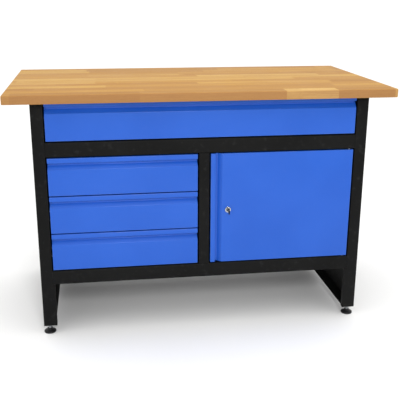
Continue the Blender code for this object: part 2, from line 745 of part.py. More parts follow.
# ---------------------------------------------------------------- feet and screws
def make_foot(name, x, y):
    """A moulded pad on a threaded stud, locked by a nut under the side panel's bottom flange."""
    step = FOOT_PAD_HEIGHT / 5
    pad = turned_part("foot_pad_" + name, [
        (0, STUD_SEAT),
        (STUD_RADIUS + RUNNING, STUD_SEAT),
        (STUD_RADIUS + RUNNING, FOOT_PAD_HEIGHT),
        (FOOT_NECK_RADIUS, FOOT_PAD_HEIGHT),
        (FOOT_NECK_RADIUS + step / 2, 3 * step),
        (FOOT_RADIUS - step / 2, 2 * step),
        (FOOT_RADIUS, 2 * step - step / 2),
        (FOOT_RADIUS, step / 3),
        (FOOT_RADIUS - step / 3, 0),
        (0, 0),
    ], (x, y, 0), "black_plastic")
    stud_top = LEG_Z + STUD_RISE
    stud = turned_part("foot_stud_" + name, [
        (0, stud_top),
        (STUD_RADIUS - RUNNING, stud_top),
        (STUD_RADIUS, stud_top - RUNNING),
        (STUD_RADIUS, STUD_SEAT + SEAT),
        (0, STUD_SEAT + SEAT),
    ], (x, y, 0), "zinc_steel", segments=24)
    nut_z = LEG_Z - SEAT - FOOT_NUT_THICKNESS / 2
    nut = finish_part("foot_nut_" + name, rod_mesh((x, y, nut_z), FOOT_NUT_RADIUS, FOOT_NUT_THICKNESS,
                                                   "Z", segments=6), "zinc_steel")
    bore = rod_mesh((x, y, nut_z), STUD_RADIUS + HOLE_CLEARANCE, 2 * CUT_PAST, "Z", segments=24)
    cut(nut, finish_cutter("foot_nut_bore_" + name, bore))
    marker = joint_marker("foot_turn_" + name, (x, y, 0))
    attach(marker, [pad, stud])


def make_screw(name, x, y):
    """A pan-head screw, up through the side panel's top flange into the slab."""
    under = FRAME_TOP_Z - FRAME_SHEET - SEAT
    turned_part("top_screw_" + name, [
        (0, FRAME_SHEET + SEAT + SCREW_ENTRY),
        (SCREW_RADIUS, FRAME_SHEET + SEAT + SCREW_ENTRY - SCREW_RADIUS),
        (SCREW_RADIUS, 0),
        (SCREW_HEAD_RADIUS, 0),
        (SCREW_HEAD_RADIUS - SCREW_HEAD / 3, -SCREW_HEAD),
        (0, -SCREW_HEAD),
    ], (x, y, under), "zinc_steel", segments=SMALL_SEGMENTS)


# ---------------------------------------------------------------- the whole bench
make_worktop()
make_side_panel("left_side_panel", -1)
make_side_panel("right_side_panel", 1)
make_rails()
make_mullion()
make_partition()
make_deck("divider_deck", MID_RAIL_Z + DECK_SHEET)
make_deck("cabinet_floor", LOW_OPEN_Z)
make_rear_panel()
make_rear_top_rail()
make_drawers()
make_cupboard()
for foot_name, foot_x, foot_y in foot_places():
    make_foot(foot_name, foot_x, foot_y)
for screw_name, screw_x, screw_y in screw_places():
    make_screw(screw_name, screw_x, screw_y)
bpy.context.view_layer.update()
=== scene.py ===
"""Looks of the workbench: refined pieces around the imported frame, procedural materials, studio and camera."""

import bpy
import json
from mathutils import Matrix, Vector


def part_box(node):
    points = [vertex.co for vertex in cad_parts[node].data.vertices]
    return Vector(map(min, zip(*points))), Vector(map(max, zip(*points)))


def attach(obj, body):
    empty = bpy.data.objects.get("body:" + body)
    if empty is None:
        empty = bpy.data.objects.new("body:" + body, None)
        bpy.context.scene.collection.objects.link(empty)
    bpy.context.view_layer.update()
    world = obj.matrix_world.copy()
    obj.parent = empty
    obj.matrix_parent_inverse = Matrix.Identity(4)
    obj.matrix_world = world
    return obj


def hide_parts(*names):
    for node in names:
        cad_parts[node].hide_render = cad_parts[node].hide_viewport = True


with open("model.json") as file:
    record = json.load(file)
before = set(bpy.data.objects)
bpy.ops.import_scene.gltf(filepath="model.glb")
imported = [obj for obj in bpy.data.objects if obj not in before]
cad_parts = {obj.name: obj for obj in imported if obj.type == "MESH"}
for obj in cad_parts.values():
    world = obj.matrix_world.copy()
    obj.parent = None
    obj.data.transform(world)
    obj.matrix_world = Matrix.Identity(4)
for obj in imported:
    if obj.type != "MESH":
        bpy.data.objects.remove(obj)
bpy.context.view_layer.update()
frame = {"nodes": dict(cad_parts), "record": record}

import json
from math import atan2, cos, pi, radians, sin, sqrt, tau

import bmesh
import bpy
from mathutils import Matrix, Vector

NODES = frame["nodes"]
BODIES = frame["record"]["behaviour"]["bodies"]
BODY_OF = {node: body for body, members in BODIES.items() for node in members}
DRAWERS = ("wide_drawer", "upper_drawer", "middle_drawer", "lower_drawer")
FEET = ("front_left", "front_right", "rear_left", "rear_right")

# Sheets and their folds, in metres
FRAME_SHEET = 0.002
FRAME_FOLD = 0.0032
DECK_SHEET = 0.0015
DECK_FOLD = 0.0025
RUNNER_SHEET = 0.0012
RUNNER_FOLD = 0.0018
PAN_SHEET = 0.0012
PAN_FOLD = 0.0020
BOX_SHEET = 0.001
BOX_FOLD = 0.0025
BOX_INNER_FOLD = 0.0017
LEAST_FOLD = 0.0003
HEM_RADIUS = 0.0016
HEM_CORNER = 0.003

# Finger pulls
LIP_HEIGHT = 0.0155
WIDE_LIP_HEIGHT = 0.0115
RECESS_HEIGHT = 0.008
SLOPE_HEIGHT = 0.013
RECESS_DEPTH = 0.012
# Width of the lighter band along a front's outer edges: paint wear and painted highlight
WEAR_AND_HIGHLIGHT_BAND = 0.0018

# The slab and its staves
SLAB_EASE = 0.0026
STAVE_ROWS = 14
STAVE_LENGTH = 0.46
FINGER_WIDTH = 0.0055
FINGER_REACH = 1.6
ROW_LINE = 0.0006
PIECE_LINE = 0.0007

# Lock, key and hinge pins
LOCK_BODY_RADIUS = 0.008
LOCK_HOLE_RADIUS = 0.0084
BEZEL_ROUND = 0.0012
LOCK_PITCH = 0.0010
LOCK_THREAD_DEPTH = 0.0005
PLUG_GAP = 0.0003
PLUG_CHAMFER = 0.0005
KEYWAY_HALF = 0.0041
KEYWAY_GAP = 0.0002
KEY_BLADE_HALF = 0.00375
KEY_TOOTH = 0.0011
KEY_TIP = 0.0015
KEY_RING_HOLE = 0.003
PIN_SHANK_RADIUS = 0.0025
PIN_HEAD_HEIGHT = 0.002
PIN_HOLE_RADIUS = 0.0028
PIN_HOLE_LENGTH = 0.030

# Feet, nuts and screws
STUD_RADIUS = 0.005
STUD_PITCH = 0.0015
STUD_HOLE_RADIUS = 0.0053
FOOT_NUT_BORE = 0.0052
FOOT_NECK_RADIUS = 0.008
FOOT_HOLE_BOTTOM = 0.006
FOOT_UNDERCUT = 0.0008
NUT_CHAMFER = 0.0007
SCREW_HEAD_HEIGHT = 0.003
SCREW_SHANK_RADIUS = 0.0025
SCREW_SLOT_HALF = 0.0005

# Modelling: how far a cutting tool runs past a face, when two heights are the same, and round shapes
CUT_PAST = 0.010
SAME = 0.0001
SHARP_ANGLE = 35.0
ROD_SIDES = 48

# Camera and studio
CAMERA_AT = (-0.3323, -2.3872, 1.0967)
CAMERA_YAW = radians(-8.572)
CAMERA_PITCH = radians(17.164)
CAMERA_ROLL = radians(0.239)
CAMERA_LENS = 63.12
CAMERA_SENSOR = 36.0
SKY_LOW = 0.75
SKY_HIGH = 1.50
FLOOR_HALF = 70.0
LIGHT_AIM = (0.0, 0.0, 0.4)
LIGHTS = [
    {"name": "key", "at": (0.0, -3.0, 1.85), "size": 0.5, "power": 37.0},
    {"name": "top", "at": (0.3, 0.2, 3.0), "size": 2.5, "power": 10.0},
]


# ---------------------------------------------------------------- node-tree helpers
class Shade:
    """A material being built: a Principled shader and short calls that add nodes to it."""

    def __init__(self, name, roughness=0.5, metallic=0.0, **sockets):
        self.material = bpy.data.materials.new(name)
        self.material.use_nodes = True
        self.tree = self.material.node_tree
        self.shader = self.tree.nodes["Principled BSDF"]
        self.shader.inputs["Roughness"].default_value = roughness
        self.shader.inputs["Metallic"].default_value = metallic
        for socket, value in sockets.items():
            self.shader.inputs[socket.replace("_", " ")].default_value = value
        self.place = self.add("ShaderNodeTexCoord").outputs["Object"]

    def put(self, socket, value):
        """Link another socket to this one, or set its plain value."""
        if isinstance(value, bpy.types.NodeSocket):
            self.tree.links.new(value, socket)
        else:
            socket.default_value = value

    def add(self, kind, *values, **settings):
        """A new node with its settings and its first input values; None leaves an input as it is."""
        node = self.tree.nodes.new(kind)
        for setting, value in settings.items():
            setattr(node, setting, value)
        for socket, value in zip(node.inputs, values):
            if value is not None:
                self.put(socket, value)
        return node

    def math(self, operation, *values):
        return self.add("ShaderNodeMath", *values, operation=operation).outputs[0]

    def vector(self, operation, *values):
        node = self.add("ShaderNodeVectorMath", operation=operation)
        for socket, value in zip(node.inputs, values):
            self.put(socket, value)
        return node.outputs["Value" if operation == "LENGTH" else "Vector"]

    def split(self, vector):
        return self.add("ShaderNodeSeparateXYZ", vector).outputs

    def join(self, x, y, z):
        return self.add("ShaderNodeCombineXYZ", x, y, z).outputs[0]

    def stretch(self, scale, offset=None):
        """Object coordinates times a scale for each axis, with an optional offset vector."""
        scaled = self.vector("MULTIPLY", self.place, scale)
        return self.vector("ADD", scaled, offset) if offset else scaled

    def noise(self, vector, scale=1.0, detail=2.0, roughness=0.5, distortion=0.0):
        node = self.add("ShaderNodeTexNoise", noise_dimensions="3D")
        for socket, value in (("Vector", vector), ("Scale", scale), ("Detail", detail),
                              ("Roughness", roughness), ("Distortion", distortion)):
            self.put(node.inputs[socket], value)
        return node.outputs["Fac"]

    def remap(self, value, low, high, to_low, to_high):
        """The value's range from low to high, spread over to_low to to_high and clamped there."""
        return self.add("ShaderNodeMapRange", value, low, high, to_low, to_high).outputs["Result"]

    def ramp(self, value, stops, interpolation="LINEAR"):
        node = self.add("ShaderNodeValToRGB", value)
        node.color_ramp.interpolation = interpolation
        while len(node.color_ramp.elements) < len(stops):
            node.color_ramp.elements.new(1.0)
        for element, (position, colour) in zip(node.color_ramp.elements, stops):
            element.position = position
            element.color = (*colour, 1.0)
        return node.outputs["Color"]

    def mix(self, factor, first, second):
        """One colour blended into another; each is a socket or three numbers."""
        node = self.add("ShaderNodeMix", data_type="RGBA")
        self.put(node.inputs["Factor"], factor)
        for socket, colour in ((node.inputs[6], first), (node.inputs[7], second)):
            self.put(socket, (*colour, 1.0) if isinstance(colour, tuple) else colour)
        return node.outputs[2]

    def bump(self, height, distance):
        node = self.add("ShaderNodeBump")
        self.put(node.inputs["Height"], height)
        self.put(node.inputs["Distance"], distance)
        return node.outputs["Normal"]

    def finish(self, colour, roughness, normal):
        for socket, value in (("Base Color", colour), ("Roughness", roughness), ("Normal", normal)):
            self.put(self.shader.inputs[socket], value)
        return self.material


# ---------------------------------------------------------------- materials
def powder_coat(name, colour, lighter, roughness, gloss, peel, marks):
    """Powder coat: mottled from colour to lighter, orange peel, rubbed streaks, dust marks, and lighter edges
    that are part paint wear, part painted highlight.
    """
    dust_colour = (0.45, 0.45, 0.44)
    worn_and_highlight_colour = (0.42, 0.50, 0.62)
    shade = Shade(name, roughness=roughness, IOR=1.5, Specular_IOR_Level=gloss)
    mottle = shade.noise(shade.place, scale=5.0, detail=3.0)
    base = shade.mix(shade.remap(mottle, 0.35, 0.65, 0.0, 1.0), colour, lighter)
    dust = shade.noise(shade.place, scale=60.0, detail=6.0, roughness=0.7)
    base = shade.mix(shade.remap(dust, 0.56, 0.75, 0.0, marks), base, dust_colour)
    # Lighter fold edges: part paint wear, part painted highlight along the folds
    edge = shade.add("ShaderNodeAttribute", attribute_name="wear_and_highlight_edge").outputs["Fac"]
    worn_and_highlight = shade.remap(shade.noise(shade.place, scale=35.0, detail=4.0), 0.3, 0.7, 0.0, 0.10)
    base = shade.mix(shade.math("MULTIPLY", edge, worn_and_highlight), base, worn_and_highlight_colour)
    streak = shade.noise(shade.stretch((14.0, 14.0, 260.0)), detail=4.0, roughness=0.65)
    streak = shade.remap(streak, 0.58, 0.72, 0.0, 0.10)
    cloud = shade.noise(shade.place, scale=18.0, detail=3.0)
    rough = shade.math("ADD", shade.remap(cloud, 0.3, 0.7, roughness - 0.04, roughness + 0.05), streak)
    grains = shade.noise(shade.place, scale=620.0, detail=1.5)
    waves = shade.noise(shade.place, scale=170.0, detail=1.0)
    height = shade.math("ADD", grains, shade.math("MULTIPLY", waves, 1.6))
    return shade.finish(base, rough, shade.bump(height, peel))


def white_noise(shade, dimensions, socket, value):
    """A random number from 0 to 1 for each different value."""
    node = shade.add("ShaderNodeTexWhiteNoise", noise_dimensions=dimensions)
    shade.put(node.inputs[socket], value)
    return node.outputs["Value"]


def stave_pieces(shade, x, y, row, row_random):
    """Which piece of a row a point is in, as a running number with a fraction; its ends are finger joints."""
    drift = shade.add("ShaderNodeTexNoise", noise_dimensions="2D")
    drift_at = shade.join(shade.math("MULTIPLY", x, 1.4), shade.math("MULTIPLY", row, 5.7), 0.0)
    shade.put(drift.inputs["Vector"], drift_at)
    drift_x = shade.math("MULTIPLY", drift.outputs["Fac"], 0.42)
    finger_x = shade.math("MULTIPLY", shade.math("PINGPONG", y, FINGER_WIDTH), FINGER_REACH)
    along = shade.math("ADD", shade.math("ADD", x, drift_x), finger_x)
    along = shade.math("ADD", along, shade.math("MULTIPLY", row_random, 9.0))
    return shade.math("DIVIDE", along, STAVE_LENGTH)


def stave_tone(shade, span, row, piece_at, is_front):
    """How light each piece is, from 0 to 1: set along the front edge and random in the rows behind it."""
    piece = shade.math("FLOOR", piece_at)
    random_tone = white_noise(shade, "2D", "Vector", shade.join(piece, row, 0.0))
    random_tone = shade.remap(random_tone, 0.0, 1.0, 0.14, 0.86)
    front_stops = [(at, (tone, tone, tone)) for at, tone in FRONT_STAVES]
    front_tone = shade.split(shade.ramp(span, front_stops, "CONSTANT"))[0]
    return shade.add("ShaderNodeMix", is_front, None, random_tone, front_tone, data_type="FLOAT").outputs[0]


def side_grain(shade, tone, row):
    """Wood seen along its fibres: its colour, and the grain and flecks that also roughen it."""
    seed = shade.join(shade.math("MULTIPLY", tone, 37.0), shade.math("MULTIPLY", row, 3.1),
                      shade.math("MULTIPLY", tone, 11.0))
    broad = shade.noise(shade.stretch((1.6, 26.0, 26.0), seed), detail=3.0, distortion=0.6)
    grain = shade.noise(shade.stretch((9.0, 330.0, 330.0), seed), detail=5.0, roughness=0.62, distortion=0.25)
    fleck = shade.noise(shade.stretch((150.0, 1500.0, 1500.0), seed), detail=2.0)
    fleck = shade.remap(fleck, 0.58, 0.70, 0.0, 0.38)
    wood = shade.ramp(tone, [
        (0.00, (0.337, 0.162, 0.042)),
        (0.22, (0.413, 0.216, 0.056)),
        (0.50, (0.490, 0.268, 0.064)),
        (0.78, (0.546, 0.324, 0.085)),
        (1.00, (0.612, 0.389, 0.127)),
    ])
    wood = shade.mix(shade.remap(broad, 0.38, 0.68, 0.0, 0.40), wood, (0.360, 0.170, 0.047))
    wood = shade.mix(shade.remap(grain, 0.45, 0.72, 0.0, 0.50), wood, (0.290, 0.130, 0.038))
    return shade.mix(fleck, wood, (0.20, 0.085, 0.035)), grain, fleck


def end_grain(shade, wood, y, z, row_random, tone):
    """Wood seen across its fibres: growth rings about a centre of its own in each row, and pores."""
    ring_centre = shade.math("MULTIPLY", shade.math("SUBTRACT", row_random, 0.5), 0.16)
    ring_y = shade.math("SUBTRACT", y, ring_centre)
    ring_z = shade.math("ADD", z, shade.math("MULTIPLY", tone, 0.06))
    ring_radius = shade.vector("LENGTH", shade.join(0.0, ring_y, ring_z))
    ring_wobble = shade.math("MULTIPLY", shade.noise(shade.place, scale=40.0), 0.004)
    rings = shade.math("SINE", shade.math("MULTIPLY", shade.math("ADD", ring_radius, ring_wobble), 2300.0))
    pores = shade.noise(shade.place, scale=2300.0, detail=1.0)
    end_wood = shade.mix(shade.remap(rings, -1.0, 1.0, 0.05, 0.42), wood, (0.36, 0.19, 0.085))
    return shade.mix(shade.remap(pores, 0.55, 0.7, 0.0, 0.5), end_wood, (0.24, 0.115, 0.05))


def glue_lines(shade, row_at, row_width, piece_at, is_front):
    """Dark joints between rows and between pieces; the front row's pieces are set apart by tone alone."""
    row_edge = shade.math("PINGPONG", row_at, 0.5)
    row_line = shade.remap(shade.math("MULTIPLY", row_edge, row_width), 0.0, ROW_LINE, 0.30, 0.0)
    piece_edge = shade.math("PINGPONG", piece_at, 0.5)
    piece_line = shade.remap(shade.math("MULTIPLY", piece_edge, STAVE_LENGTH), 0.0, PIECE_LINE, 0.28, 0.0)
    behind = shade.math("SUBTRACT", 1.0, is_front)
    return shade.math("MAXIMUM", row_line, shade.math("MULTIPLY", piece_line, behind))


def beech():
    """Oiled beech: rows of staves across the slab, with finger joints, grain, pores and end grain."""
    shade = Shade("beech_staves", roughness=0.6, IOR=1.46, Specular_IOR_Level=0.2)
    low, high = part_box("worktop")
    row_width = (high.y - low.y) / STAVE_ROWS
    x, y, z = shade.split(shade.place)

    row_at = shade.math("DIVIDE", shade.math("SUBTRACT", y, low.y), row_width)
    row = shade.math("FLOOR", row_at)
    row = shade.math("MAXIMUM", shade.math("MINIMUM", row, STAVE_ROWS - 1.0), 0.0)
    row_random = white_noise(shade, "1D", "W", shade.math("ADD", row, 7.3))
    is_front = shade.math("LESS_THAN", row, 0.5)
    piece_at = stave_pieces(shade, x, y, row, row_random)
    span = shade.math("DIVIDE", shade.math("SUBTRACT", x, low.x), high.x - low.x)
    tone = stave_tone(shade, span, row, piece_at, is_front)

    wood, grain, fleck = side_grain(shade, tone, row)
    normal_x, normal_y, _ = shade.split(shade.add("ShaderNodeNewGeometry").outputs["Normal"])
    at_end = shade.math("GREATER_THAN", shade.math("ABSOLUTE", normal_x), 0.75)
    side_face_shade = shade.math("GREATER_THAN", shade.math("ABSOLUTE", normal_y), 0.75)
    wood = shade.mix(at_end, wood, end_grain(shade, wood, y, z, row_random, tone))
    # Painted shade: the front and rear faces are tinted darker and pinker than the top
    wood = shade.mix(shade.math("MULTIPLY", side_face_shade, 0.30), wood, (0.400, 0.200, 0.095))
    line = glue_lines(shade, row_at, row_width, piece_at, is_front)
    wood = shade.mix(line, wood, (0.16, 0.075, 0.03))

    handling = shade.noise(shade.place, scale=7.0, detail=4.0)
    rough = shade.math("ADD", shade.remap(handling, 0.3, 0.7, 0.56, 0.68), shade.math("MULTIPLY", fleck, 0.4))
    height = shade.math("SUBTRACT", shade.math("MULTIPLY", grain, -0.7), fleck)
    height = shade.math("SUBTRACT", height, shade.math("MULTIPLY", line, 2.0))
    return shade.finish(wood, rough, shade.bump(height, 0.00012))


def zinc_plate():
    """Dull zinc, its base greys also darkened as painted shade: rolled streaks, small crystals and a faint
    yellow-blue shift.
    """
    shade = Shade("zinc_plated_steel", roughness=0.38, metallic=1.0)
    cloud = shade.noise(shade.place, scale=24.0, detail=4.0)
    # Part dull zinc, part painted shade: the base greys are kept dark
    base = shade.mix(shade.remap(cloud, 0.35, 0.65, 0.0, 1.0), (0.34, 0.35, 0.36), (0.28, 0.29, 0.31))
    warm = shade.noise(shade.place, scale=9.0, detail=2.0)
    base = shade.mix(shade.remap(warm, 0.5, 0.75, 0.0, 0.35), base, (0.36, 0.33, 0.26))
    rolled = shade.noise(shade.stretch((900.0, 25.0, 900.0)), detail=3.0)
    rough = shade.remap(rolled, 0.3, 0.7, 0.30, 0.50)
    return shade.finish(base, rough, shade.bump(rolled, 0.00004))


def chrome_plate():
    """Nickel-chrome with light handling haze; its dark base colour is painted shade on its reflections."""
    shade = Shade("polished_chrome", roughness=0.1, metallic=1.0)
    haze = shade.noise(shade.place, scale=220.0, detail=4.0)
    # Painted shade: the base colours are kept dark to dim what the chrome reflects
    base = shade.mix(shade.remap(haze, 0.4, 0.7, 0.0, 0.5), (0.46, 0.47, 0.48), (0.34, 0.34, 0.35))
    scratch = shade.noise(shade.stretch((2600.0, 300.0, 300.0)), detail=2.0)
    rough = shade.math("ADD", shade.remap(haze, 0.3, 0.7, 0.07, 0.17),
                       shade.remap(scratch, 0.6, 0.7, 0.0, 0.12))
    return shade.finish(base, rough, shade.bump(scratch, 0.00001))


def moulded_black(name, roughness, grain_scale):
    """Black moulded plastic with a spark-eroded texture and grey scuffs."""
    shade = Shade(name, roughness=roughness, IOR=1.48, Specular_IOR_Level=0.22)
    scuff = shade.noise(shade.place, scale=130.0, detail=5.0, roughness=0.7)
    base = shade.mix(shade.remap(scuff, 0.55, 0.75, 0.0, 0.35), (0.007, 0.007, 0.008), (0.04, 0.04, 0.04))
    grain = shade.noise(shade.place, scale=grain_scale, detail=2.0)
    rough = shade.remap(scuff, 0.3, 0.7, roughness - 0.06, roughness + 0.10)
    return shade.finish(base, rough, shade.bump(grain, 0.00005))


def studio_floor():
    """Pale seamless floor with a barely visible tooth."""
    shade = Shade("studio_floor", roughness=0.75)
    cloud = shade.noise(shade.place, scale=1.3, detail=3.0)
    base = shade.mix(shade.remap(cloud, 0.3, 0.7, 0.0, 1.0), (0.86, 0.86, 0.86), (0.89, 0.89, 0.885))
    tooth = shade.noise(shade.place, scale=400.0, detail=2.0)
    return shade.finish(base, 0.75, shade.bump(tooth, 0.0001))


# Where a new piece starts along the front edge, as a share of the width, and how light it is
FRONT_STAVES = [
    (0.0, 0.30),
    (0.018, 0.12),
    (0.33, 0.20),
    (0.70, 0.93),
    (0.745, 0.96),
    (0.838, 0.18),
    (0.990, 0.85),
]

BEECH = beech()
BLACK = powder_coat("black_powder_coat", colour=(0.0042, 0.0042, 0.0041), lighter=(0.0064, 0.0064, 0.0062),
                    roughness=0.45, gloss=0.08, peel=0.00006, marks=0.03)
BLUE = powder_coat("blue_powder_coat", colour=(0.010, 0.083, 0.450), lighter=(0.013, 0.092, 0.480),
                   roughness=0.36, gloss=0.30, peel=0.00005, marks=0.012)
ZINC = zinc_plate()
CHROME = chrome_plate()
FOOT_BLACK = moulded_black("foot_plastic", 0.42, 900.0)
KEY_BLACK = moulded_black("key_plastic", 0.38, 1400.0)


# ---------------------------------------------------------------- mesh helpers
def new_piece(name, bm, material, sharp=SHARP_ANGLE):
    """A mesh piece, smooth except where faces meet at more than the sharp angle, in degrees."""
    bmesh.ops.recalc_face_normals(bm, faces=bm.faces)
    mesh = bpy.data.meshes.new(name)
    bm.to_mesh(mesh)
    bm.free()
    mesh.shade_smooth()
    mesh.set_sharp_from_angle(angle=radians(sharp))
    piece = bpy.data.objects.new(name, mesh)
    bpy.context.scene.collection.objects.link(piece)
    mesh.materials.append(material)
    return piece


def stand_for(piece, node):
    """The piece replaces a CAD node and rides on that node's body."""
    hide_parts(node)
    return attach(piece, BODY_OF[node])


def soften(piece, width, segments=1, angle=SHARP_ANGLE):
    """Break the sharp edges and keep the flats flat."""
    bevel = piece.modifiers.new("Break edges", "BEVEL")
    bevel.width = width
    bevel.segments = segments
    bevel.limit_method = "ANGLE"
    bevel.angle_limit = radians(angle)
    bevel.harden_normals = True
    return piece


def combine(piece, bm, operation):
    """Join a closed mesh to a piece, or cut it out, and keep the result as plain mesh."""
    bmesh.ops.recalc_face_normals(bm, faces=bm.faces)
    mesh = bpy.data.meshes.new("tool")
    bm.to_mesh(mesh)
    bm.free()
    tool = bpy.data.objects.new("tool", mesh)
    bpy.context.scene.collection.objects.link(tool)
    modifier = piece.modifiers.new("combine", "BOOLEAN")
    modifier.operation = operation
    modifier.solver = "EXACT"
    modifier.object = tool
    evaluated = piece.evaluated_get(bpy.context.evaluated_depsgraph_get())
    result = bpy.data.meshes.new_from_object(evaluated)
    piece.modifiers.remove(modifier)
    piece.data = result
    bpy.data.objects.remove(tool)


def carve(piece, *tools):
    """Cut closed meshes out of a piece and shade it again."""
    for tool in tools:
        combine(piece, tool, "DIFFERENCE")
    piece.data.shade_smooth()
    piece.data.set_sharp_from_angle(angle=radians(SHARP_ANGLE))


def box_mesh(low, high):
    low = Vector(low)
    high = Vector(high)
    bm = bmesh.new()
    place = Matrix.Translation((low + high) / 2) @ Matrix.Diagonal((*(high - low), 1))
    bmesh.ops.create_cube(bm, size=1.0, matrix=place)
    return bm


TURN_TO = {
    "X": Matrix.Rotation(radians(90), 4, "Y"),
    "-X": Matrix.Rotation(radians(-90), 4, "Y"),
    "Y": Matrix.Rotation(radians(-90), 4, "X"),
    "-Y": Matrix.Rotation(radians(90), 4, "X"),
    "Z": Matrix.Identity(4),
    "-Z": Matrix.Rotation(radians(180), 4, "X"),
}


def rod_mesh(centre, radius, length, axis="Z", sides=ROD_SIDES):
    bm = bmesh.new()
    bmesh.ops.create_cone(bm, cap_ends=True, segments=sides, radius1=radius, radius2=radius,
                          depth=length, matrix=Matrix.Translation(centre) @ TURN_TO[axis])
    return bm


def quarter_turn(steps):
    """Angles from 0 to a right angle in equal steps."""
    return [pi / 2 * step / steps for step in range(steps + 1)]


def circle(radius, sides):
    """Points around the origin, counterclockwise from the first axis."""
    return [(radius * cos(tau * k / sides), radius * sin(tau * k / sides)) for k in range(sides)]


def rounded(points, radius, segments=5, closed=False):
    """A polyline with its corners replaced by arcs; radius is one value or one for each point."""
    count = len(points)
    radii = radius if isinstance(radius, (list, tuple)) else [radius] * count
    result = []
    for index, point in enumerate(points):
        here = Vector(point)
        is_end = not closed and index in (0, count - 1)
        if is_end or radii[index] <= 0:
            result.append(tuple(here))
            continue
        before = Vector(points[index - 1]) - here
        after = Vector(points[(index + 1) % count]) - here
        half = before.angle(after) / 2
        cut = min(radii[index] / abs(sin(half) / cos(half)), before.length * 0.49, after.length * 0.49)
        start = here + before.normalized() * cut
        end = here + after.normalized() * cut
        true_radius = cut * abs(sin(half) / cos(half))
        centre = here + (before.normalized() + after.normalized()).normalized() * (true_radius / sin(half))
        first = atan2(*(start - centre).yx)
        turn = (atan2(*(end - centre).yx) - first + pi) % tau - pi
        for step in range(segments + 1):
            angle = first + turn * step / segments
            result.append((centre.x + true_radius * cos(angle), centre.y + true_radius * sin(angle)))
    return result


def prism(outline, start, end, place):
    """A closed outline pushed from start to end; place(a, b, along) gives each point."""
    bm = bmesh.new()
    face = bm.faces.new([bm.verts.new(place(a, b, start)) for a, b in outline])
    grown = bmesh.ops.extrude_face_region(bm, geom=[face])
    moved = [item for item in grown["geom"] if isinstance(item, bmesh.types.BMVert)]
    push = Vector(place(0, 0, end)) - Vector(place(0, 0, start))
    bmesh.ops.translate(bm, verts=moved, vec=push)
    return bm


def folded_c(depth, height, sheet, fold):
    """Section of a folded channel: its web on a = 0, its flanges to a = depth, its folds concentric."""
    outer = rounded([(depth, 0), (0, 0), (0, height), (depth, height)], [0, fold, fold, 0])
    inner_fold = max(fold - sheet, LEAST_FOLD)
    inner = rounded([(depth, height - sheet), (sheet, height - sheet), (sheet, sheet), (depth, sheet)],
                    [0, inner_fold, inner_fold, 0])
    return outer + inner


def channel(node, along, opening, sheet, fold, material):
    """A folded channel that fills a node's box, along one axis, with its flanges pointing to the opening."""
    low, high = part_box(node)
    axis = "XYZ".index(along)
    open_axis = "XYZ".index(opening[1])
    side_axis = 3 - axis - open_axis
    depth = high[open_axis] - low[open_axis]
    height = high[side_axis] - low[side_axis]

    def place(a, b, distance):
        point = Vector((0, 0, 0))
        point[axis] = distance
        point[open_axis] = low[open_axis] + a if opening[0] == "+" else high[open_axis] - a
        point[side_axis] = low[side_axis] + b
        return point

    bm = prism(folded_c(depth, height, sheet, fold), low[axis], high[axis], place)
    piece = new_piece(node + "_sheet", bm, material)
    soften(stand_for(piece, node), sheet * 0.16)


def lathe(profile, sides, ring=False):
    """A profile of (radius, height) turned about Z; ring also joins its last point to its first."""
    bm = bmesh.new()
    rings = []
    for radius, height in profile:
        around = [(0, 0)] if radius == 0 else circle(radius, sides)
        rings.append([bm.verts.new((x, y, height)) for x, y in around])
    pairs = list(zip(rings, rings[1:]))
    if ring:
        pairs.append((rings[-1], rings[0]))
    for first, second in pairs:
        for k in range(sides):
            n = (k + 1) % sides
            if len(first) == 1:
                bm.faces.new((first[0], second[k], second[n]))
            elif len(second) == 1:
                bm.faces.new((first[k], second[0], first[n]))
            else:
                bm.faces.new((first[k], second[k], second[n], first[n]))
    return bm


def turned(name, profile, centre, material, axis="Z", sides=64, ring=False, sharp=SHARP_ANGLE):
    """A piece turned about an axis through centre."""
    bm = lathe(profile, sides, ring)
    bm.transform(Matrix.Translation(centre) @ TURN_TO[axis])
    return new_piece(name, bm, material, sharp)


def skin(bm, rings):
    """Faces between each ring of points and the next."""
    for first, second in zip(rings, rings[1:]):
        for k in range(len(first)):
            n = (k + 1) % len(first)
            bm.faces.new((first[k], first[n], second[n], second[k]))


def refined_sheet(node):
    """A black sheet whose CAD shape is already right: welded, cleaned, shaded smooth, edges broken."""
    bm = bmesh.new()
    bm.from_mesh(NODES[node].data)
    bmesh.ops.remove_doubles(bm, verts=bm.verts, dist=0.00001)
    bmesh.ops.dissolve_limit(bm, angle_limit=radians(0.6), verts=bm.verts, edges=bm.edges)
    piece = new_piece(node + "_sheet", bm, BLACK, 38.0)
    soften(piece, 0.0003, angle=50.0)
    stand_for(piece, node)


# ---------------------------------------------------------------- the slab
def make_slab():
    low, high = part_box("worktop")
    bm = box_mesh(low, high)
    bmesh.ops.bevel(bm, geom=bm.edges[:], offset=SLAB_EASE, segments=4, profile=0.5, affect="EDGES")
    slab = new_piece("beech_slab", bm, BEECH, 60.0)
    stand_for(slab, "worktop")


